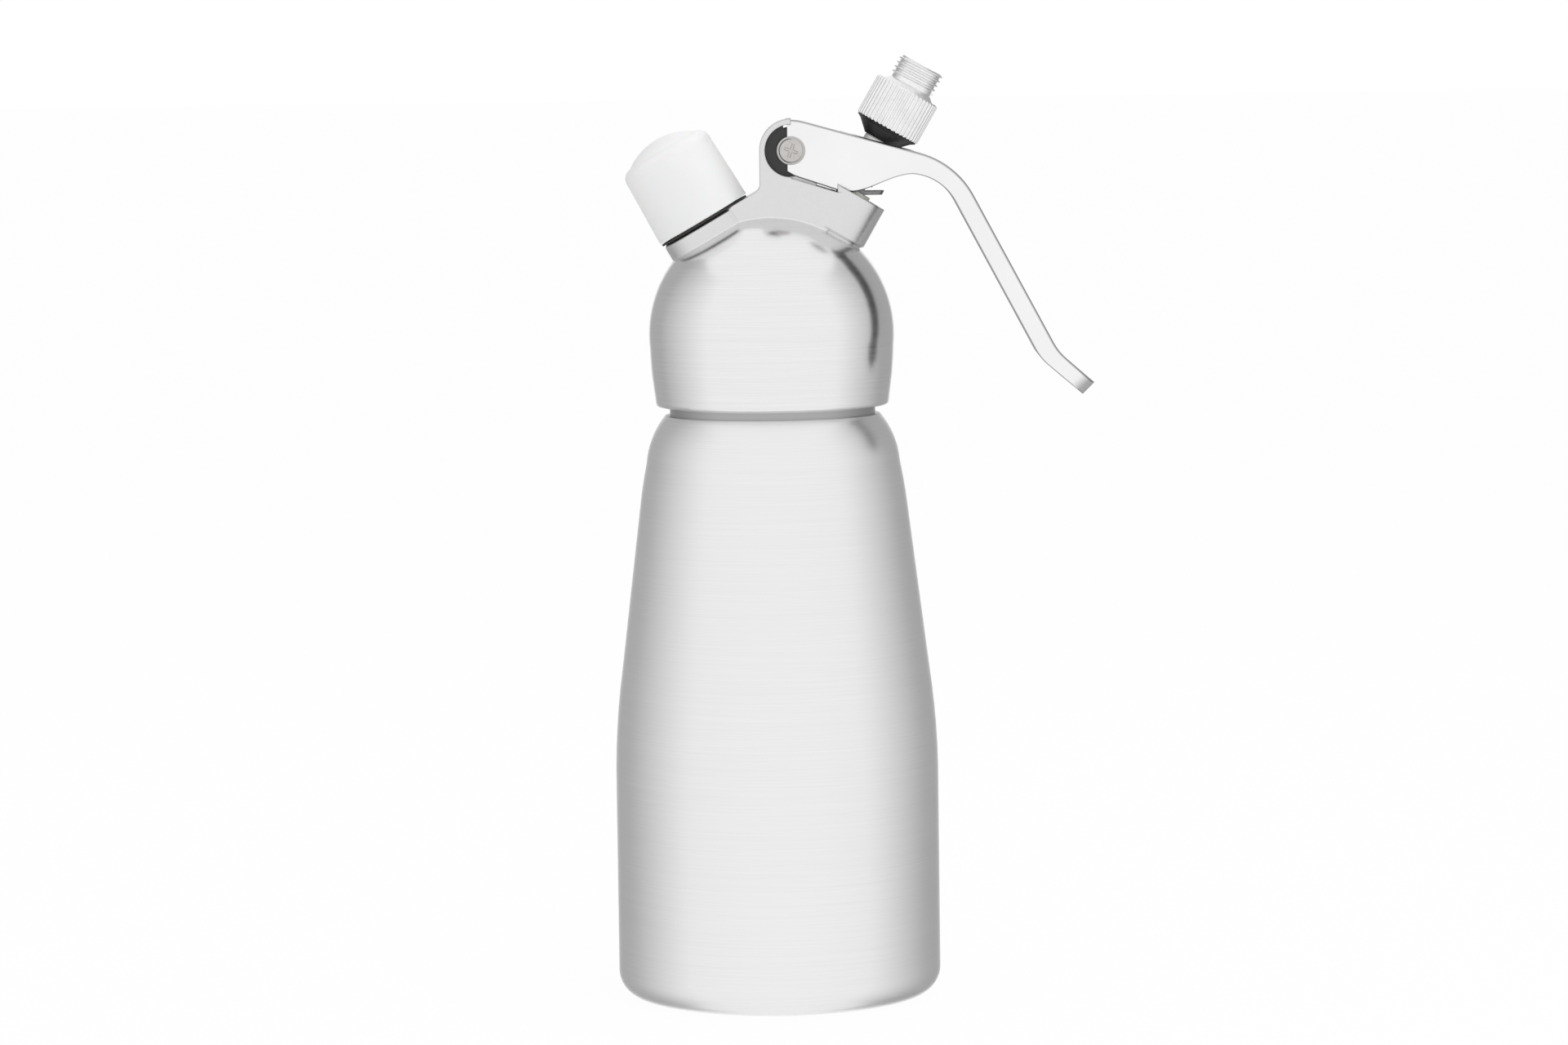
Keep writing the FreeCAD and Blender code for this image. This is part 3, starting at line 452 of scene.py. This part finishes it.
# %% Lever paths
MM = 0.001
SLOT_START = 0.4005
SLOT_END = 0.9564
FRONT_STATIONS = np.unique(np.concatenate([np.linspace(0.0, 1.0, 26), [SLOT_START, SLOT_END]]))
FRONT_X = 4.6
FRONT_TOP_Z = 222.5
KNEE = np.array([7.7, 222.2])
EYE_FOOT_X = [FRONT_X, 6.2, 17.6, 19.5]
EYE_FOOT_Z = [209.2, 208.2, 204.3, 203.9]
RISE_END = np.array([36.0, 208.3])
GRIP_BEND = np.array([46.9, 211.1])
PADDLE_BEND = np.array([72.3, 163.2])
PADDLE_LENGTH = 12.2
CHEEK_DEPTH = 4.6
TIP_DEPTH = 4.2
GRIP_TOP_RADIUS = 22.0
GRIP_LOW_RADIUS = 13.2
PADDLE_RADIUS = 14.0


def slope_line(degrees):
    """Unit vector that falls towards +X by an angle."""
    lean = math.radians(degrees)
    return np.array([math.cos(lean), -math.sin(lean)])


CHEEK_LINE = slope_line(16.1)
GRIP_LINE = slope_line(61.5)
PADDLE_LINE = slope_line(41.5)


def below(line):
    """Unit normal of a falling line, on its lower side."""
    return np.array([line[1], -line[0]])


def bend(before, corner, after, radius, steps=12):
    """Points of the arc that rounds a corner: its centre lies on the corner's bisector, at
    radius / sin(half the angle) from the corner."""
    first = (before - corner) / np.linalg.norm(before - corner)
    second = (after - corner) / np.linalg.norm(after - corner)
    half = math.acos(first @ second) / 2.0
    middle = (first + second) / np.linalg.norm(first + second)
    centre = corner + middle * radius / math.sin(half)
    reach = radius / math.tan(half)
    mix = np.linspace(corner + first * reach, corner + second * reach, steps + 1) - centre
    return centre + mix / np.linalg.norm(mix, axis=1, keepdims=True) * radius


def cheek_foot(low_x):
    """Height of the lower edge under the front part: straight pieces round the pivot eye, then a
    rise of 3r^2 - 2r^3 of the whole step, with r from 0 to 1."""
    eye_end = EYE_FOOT_X[-1]
    floor = EYE_FOOT_Z[-1]
    rise = np.clip((low_x - eye_end) / (RISE_END[0] - eye_end), 0.0, 1.0)
    return np.where(low_x < eye_end, np.interp(low_x, EYE_FOOT_X, EYE_FOOT_Z),
                    floor + (RISE_END[1] - floor) * rise * rise * (3.0 - 2.0 * rise))


def join_path(front, first_bend, second_bend, end):
    """One path: the front part, a bend, a straight, a second bend and a straight to the end."""
    middle = np.linspace(0.0, 1.0, 12)[1:-1, None]
    last = np.linspace(0.0, 1.0, 14)[1:, None]
    return np.concatenate([front, first_bend[1:],
                           first_bend[-1] + (second_bend[0] - first_bend[-1]) * middle, second_bend,
                           second_bend[-1] + (end - second_bend[-1]) * last])


def lever_paths():
    """Top line and lower edge of the lever in millimetres, station by station."""
    end = PADDLE_BEND + PADDLE_LINE * PADDLE_LENGTH
    top_bend = bend(KNEE, GRIP_BEND, PADDLE_BEND, GRIP_TOP_RADIUS)
    top_paddle = bend(GRIP_BEND, PADDLE_BEND, end, PADDLE_RADIUS)
    low_end = end + below(PADDLE_LINE) * TIP_DEPTH - PADDLE_LINE * 0.3
    low_paddle_corner = PADDLE_BEND + below(GRIP_LINE) * CHEEK_DEPTH - PADDLE_LINE
    low_corner = GRIP_BEND + below(GRIP_LINE) * CHEEK_DEPTH + GRIP_LINE * 1.5 - CHEEK_LINE * 0.4
    low_bend = bend(RISE_END, low_corner, low_paddle_corner, GRIP_LOW_RADIUS)
    low_paddle = bend(low_corner, low_paddle_corner, low_end, PADDLE_RADIUS)

    top_x = FRONT_X + (top_bend[0, 0] - FRONT_X) * FRONT_STATIONS
    top_z = np.interp(top_x, [FRONT_X, KNEE[0], top_bend[0, 0]],
                      [FRONT_TOP_Z, KNEE[1], top_bend[0, 1]])
    low_x = FRONT_X + (low_bend[0, 0] - FRONT_X) * FRONT_STATIONS
    top = join_path(np.column_stack([top_x, top_z]), top_bend, top_paddle, end)
    low = join_path(np.column_stack([low_x, cheek_foot(low_x)]), low_bend, low_paddle, low_end)
    return top, low


top_path, low_path = lever_paths()
print("lever stations:", len(top_path))

# %% [markdown]
# A cross section is a polygon with rounded corners. `fillet` replaces each corner by a short
# curve, and marks it with a hump from 0 to 1 and back in a second array. That mark travels to the
# mesh as an attribute called lip, with which the finish paints shade on the rounded edges. A second
# one, hollow, marks the inside of the channel, which the finish paints in shade too. The web has a
# slot for the valve stem. Cutting it with a Boolean would leave long thin faces, so between two
# stations the channel is drawn as two separate L sections instead.

# %% Lever skin
CORNER_STEPS = 5
CHEEK_THICKNESS = 1.6
WEB_THICKNESS = 1.5
SLOT_HALF = 4.6
OUTER_HALF = 6.9
TOP_ROUNDING = 0.9
FOOT_ROUNDING = 0.5
SLIM_INNER = 0.35
GRIP_RUN = [0.0, 0.25, 0.55, 0.72, 1.0]
GRIP_HALF = [OUTER_HALF, OUTER_HALF, 7.4, 9.0, 9.0]
PADDLE_END_RADIUS = 9.0
TIP_HALF = 2.2
SAME_FACE = 0.02
SMOOTH_UNDER = math.radians(38.0)


def inside_channel(outline, inner, web):
    """1 where a section's point lies on the hollow's walls."""
    within = np.abs(outline[:, 0]) <= inner + SAME_FACE
    under_web = outline[:, 1] >= web - SAME_FACE
    return (within & under_web).astype(float)


def fillet(corners, radii):
    """Outline of a closed polygon whose corners are rounded by quadratic arcs: with t from 0 to
    1 the point is (1-t)^2 a + 2t(1-t) corner + t^2 b, where a and b lie one radius away from the
    corner on its two sides."""
    corners = np.array(corners, dtype=float)
    before = np.roll(corners, 1, axis=0) - corners
    after = np.roll(corners, -1, axis=0) - corners
    radii = np.array(radii)[:, None]
    near = corners + before / np.linalg.norm(before, axis=1, keepdims=True) * radii
    far = corners + after / np.linalg.norm(after, axis=1, keepdims=True) * radii
    t = np.linspace(0.0, 1.0, CORNER_STEPS + 1)[None, :, None]
    outline = (1 - t) ** 2 * near[:, None] + 2 * t * (1 - t) * corners[:, None] + t ** 2 * far[:, None]
    mark = np.sin(np.linspace(0.0, math.pi, CORNER_STEPS + 1))
    marks = np.tile(mark, (len(corners), 1))
    return outline.reshape(-1, 2), marks.reshape(-1)


def channel_section(half, depth, part):
    """Section across the lever in (y, depth): the whole channel, or its left or right L."""
    inner = max(half - CHEEK_THICKNESS, SLIM_INNER)
    web = min(WEB_THICKNESS, depth * 0.45)
    edge = min(TOP_ROUNDING, web * 0.6)
    foot = FOOT_ROUNDING
    if part == "channel":
        corners = [(-inner, web), (-inner, depth), (-half, depth), (-half, 0.0), (half, 0.0),
                   (half, depth), (inner, depth), (inner, web)]
        radii = [0.3, foot, foot, edge, edge, foot, foot, 0.3]
        outline, marks = fillet(corners, [min(r, inner * 0.45) for r in radii])
        return outline, marks, inside_channel(outline, inner, web)
    corners = np.array([(SLOT_HALF, 0.0), (half, 0.0), (half, depth), (inner, depth), (inner, web),
                        (SLOT_HALF, web)])
    radii = [0.1, edge, foot, foot, 0.1, 0.1]
    if part == "left":
        corners = (corners * [-1.0, 1.0])[::-1]
        radii = radii[::-1]
    outline, marks = fillet(corners, radii)
    return outline, marks, inside_channel(outline, inner, web)


def half_width(index, count_front):
    """Half width along the lever: cheeks, then the grip that widens to a paddle with a round end.
    There it is multiplied by sqrt(1 - (1 - s)^2), with s from 0 at the end to 1 one radius away."""
    if index < count_front:
        return OUTER_HALF
    run = (index - count_front) / (len(top_path) - 1 - count_front)
    width = np.interp(run, GRIP_RUN, GRIP_HALF)
    share = np.linalg.norm(top_path[-1] - top_path[index]) / PADDLE_END_RADIUS
    if share < 1.0:
        width = max(width * math.sqrt(1.0 - (1.0 - share) ** 2), TIP_HALF)
    return width


def loft(first, last, part):
    """Closed skin through the sections from one station to another: each ring of points is a
    section at the place top + depth * (low - top), joined to the next ring by quads."""
    rings, hollows = [], []
    for index in range(first, last + 1):
        drop = low_path[index] - top_path[index]
        depth = np.linalg.norm(drop)
        width = half_width(index, len(FRONT_STATIONS))
        outline, marks, hollow = channel_section(width, depth, part)
        hollows.append(hollow)
        place = top_path[index] + outline[:, 1:] * drop / depth
        rings.append(np.column_stack([place[:, 0], outline[:, 0], place[:, 1]]))
    count = len(rings[0])
    index = np.arange(count)
    ring = np.arange(len(rings) - 1)[:, None] * count
    following = (index + 1) % count
    quads = np.stack([ring + index, ring + following, ring + following + count, ring + index + count],
                     axis=-1).reshape(-1, 4)
    caps = [index[::-1].tolist(), (index + (len(rings) - 1) * count).tolist()]
    faces = quads.tolist() + caps
    return np.concatenate(rings) * MM, faces, np.tile(marks, len(rings)), np.concatenate(hollows)


def make_lever():
    stations = FRONT_STATIONS.tolist()
    start = stations.index(SLOT_START)
    end = stations.index(SLOT_END)
    runs = [(0, start, "channel"), (start, end, "left"), (start, end, "right"),
            (end, len(top_path) - 1, "channel")]
    vertices, faces, marks, hollows = [], [], [], []
    for first, last, part in runs:
        points, polygons, lips, hollow = loft(first, last, part)
        offset = sum(len(block) for block in vertices)
        vertices.append(points)
        marks.append(lips)
        hollows.append(hollow)
        faces += [[corner + offset for corner in polygon] for polygon in polygons]
    mesh = bpy.data.meshes.new("lever_skin")
    mesh.from_pydata(np.concatenate(vertices).tolist(), [], faces)
    mesh.attributes.new("lip", "FLOAT", "POINT").data.foreach_set("value", np.concatenate(marks))
    inside = mesh.attributes.new("hollow", "FLOAT", "POINT")
    inside.data.foreach_set("value", np.concatenate(hollows))
    mesh.shade_smooth()
    mesh.set_sharp_from_angle(angle=SMOOTH_UNDER)
    skin = bpy.data.objects.new("lever_skin", mesh)
    bpy.context.collection.objects.link(skin)
    mesh.materials.append(lever_metal.material)
    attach(skin, "lever")
    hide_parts("lever")
    return skin


lever_skin = make_lever()
print("lever faces:", len(lever_skin.data.polygons))

# %% [markdown]
# The studio is a white sweep: a floor that runs far back, and a world that is white wherever the
# camera or a mirror looks. Two soft panels and the world light the plastics and rubbers. Metal has
# no colour of its own and shows its surroundings. More lamps would only add bright spots to it, so
# its shading comes from a curved grey wall on each side, placed beside and behind the object. Only
# mirror rays see the walls. A turned surface reflects its front in the middle and its sides near
# the outline, so the walls draw the darker edges.

# %% Studio
FLOOR_HALF = 30.0
FLOOR_COLOUR = 0.95
FLOOR_GLOW = 0.95
WORLD_FILL = 0.8
OBJECT_MIDDLE = (0.0, 0.0, 0.14)
WALL_RADIUS = 1.6
WALL_BOTTOM = -2.5
WALL_TOP = 1.8
WALL_START = math.radians(64.0)
WALL_END = math.radians(163.0)
WALL_DARK_FROM = math.radians(128.0)


def panel_mesh(name, corners, faces):
    mesh = bpy.data.meshes.new(name)
    mesh.from_pydata(corners, [], faces)
    panel = bpy.data.objects.new(name, mesh)
    bpy.context.collection.objects.link(panel)
    return panel


def white_where_seen(tree):
    """Socket that is 1 for camera, mirror and glass rays."""
    path = tree.nodes.new("ShaderNodeLightPath")
    seen = path.outputs["Is Camera Ray"]
    for kind in ("Is Glossy Ray", "Is Transmission Ray"):
        either = tree.nodes.new("ShaderNodeMath")
        either.operation = "MAXIMUM"
        tree.links.new(seen, either.inputs[0])
        tree.links.new(path.outputs[kind], either.inputs[1])
        seen = either.outputs[0]
    return seen


def make_world():
    world = bpy.data.worlds.new("white_room")
    bpy.context.scene.world = world
    world.use_nodes = True
    tree = world.node_tree
    shown = tree.nodes.new("ShaderNodeBackground")
    shown.inputs["Color"].default_value = grey(1.0)
    lighting = tree.nodes["Background"]
    lighting.inputs["Color"].default_value = grey(1.0)
    lighting.inputs["Strength"].default_value = WORLD_FILL
    mix = tree.nodes.new("ShaderNodeMixShader")
    tree.links.new(white_where_seen(tree), mix.inputs[0])
    tree.links.new(lighting.outputs[0], mix.inputs[1])
    tree.links.new(shown.outputs[0], mix.inputs[2])
    tree.links.new(mix.outputs[0], tree.nodes["World Output"].inputs["Surface"])


def make_floor():
    """White floor that is mostly glow to the camera, so that it ends in the white background
    and still takes the object's shadow."""
    half = FLOOR_HALF
    floor = panel_mesh("floor", [(-half, -half, 0.0), (half, -half, 0.0), (half, half, 0.0),
                                 (-half, half, 0.0)], [(0, 1, 2, 3)])
    finish = Finish("floor_white", (FLOOR_COLOUR,) * 3, 0.0, 0.9)
    tree = finish.tree
    glow = tree.nodes.new("ShaderNodeEmission")
    glow.inputs["Color"].default_value = grey(1.0)
    mix = tree.nodes.new("ShaderNodeMixShader")
    share = tree.nodes.new("ShaderNodeMath")
    share.operation = "MULTIPLY"
    share.inputs[1].default_value = FLOOR_GLOW
    tree.links.new(white_where_seen(tree), share.inputs[0])
    tree.links.new(share.outputs[0], mix.inputs[0])
    tree.links.new(finish.shader.outputs[0], mix.inputs[1])
    tree.links.new(glow.outputs[0], mix.inputs[2])
    tree.links.new(mix.outputs[0], tree.nodes["Material Output"].inputs["Surface"])
    floor.data.materials.append(finish.material)
    floor.visible_glossy = False


def soft_panel(name, location, size, power):
    """Square area lamp that faces the object and leaves no spot in the metal."""
    lamp = bpy.data.lights.new(name, "AREA")
    lamp.shape = "SQUARE"
    lamp.size = size
    lamp.energy = power
    holder = bpy.data.objects.new(name, lamp)
    bpy.context.collection.objects.link(holder)
    holder.location = location
    aim = Vector(OBJECT_MIDDLE) - Vector(location)
    holder.rotation_euler = aim.to_track_quat("-Z", "Y").to_euler()
    holder.visible_glossy = False


def only_in_mirrors(panel):
    panel.visible_camera = False
    panel.visible_diffuse = False
    panel.visible_shadow = False
    panel.visible_transmission = False


def arc_wall(name, side, radius, start, end, low, high, steps=48):
    """Part of an upright cylinder: x = side * radius * sin(turn), y = -radius * cos(turn), with
    turn 0 towards the camera."""
    turns = np.linspace(start, end, steps + 1)
    ring = np.stack([side * radius * np.sin(turns), -radius * np.cos(turns)], axis=1)
    bottom = np.column_stack([ring, np.full(len(turns), low)])
    top = np.column_stack([ring, np.full(len(turns), high)])
    count = len(turns)
    faces = [(i, i + 1, count + i + 1, count + i) for i in range(steps)]
    return panel_mesh(name, np.concatenate([bottom, top]).tolist(), faces)


def graded_wall(name, side, darkest):
    """Grey wall whose brightness falls from white at its front end to its darkest level."""
    wall = arc_wall(name, side, WALL_RADIUS, WALL_START, WALL_END, WALL_BOTTOM, WALL_TOP)
    finish = Finish(name, (0.0, 0.0, 0.0), 0.0, 1.0, Emission_Strength=1.0,
                    Specular_IOR_Level=0.0)
    place = finish.place()
    across = finish.node("ShaderNodeSeparateXYZ", {}, {0: place}, "X")
    ahead = finish.node("ShaderNodeSeparateXYZ", {}, {0: place}, "Y")
    turn = finish.node("ShaderNodeMath", {"operation": "ARCTAN2"}, {0: across * side, 1: ahead * -1.0})
    fall = finish.between(turn, WALL_START, WALL_DARK_FROM)
    finish.set("Emission Color", finish.blend(fall, grey(1.0), grey(darkest)))
    wall.data.materials.append(finish.material)
    only_in_mirrors(wall)


make_world()
make_floor()
soft_panel("key_panel", (0.5, -1.2, 0.9), 0.9, 3.0)
soft_panel("top_panel", (0.3, 0.0, 1.3), 0.8, 2.0)
graded_wall("left_wall", -1.0, 0.45)
graded_wall("right_wall", 1.0, 0.42)
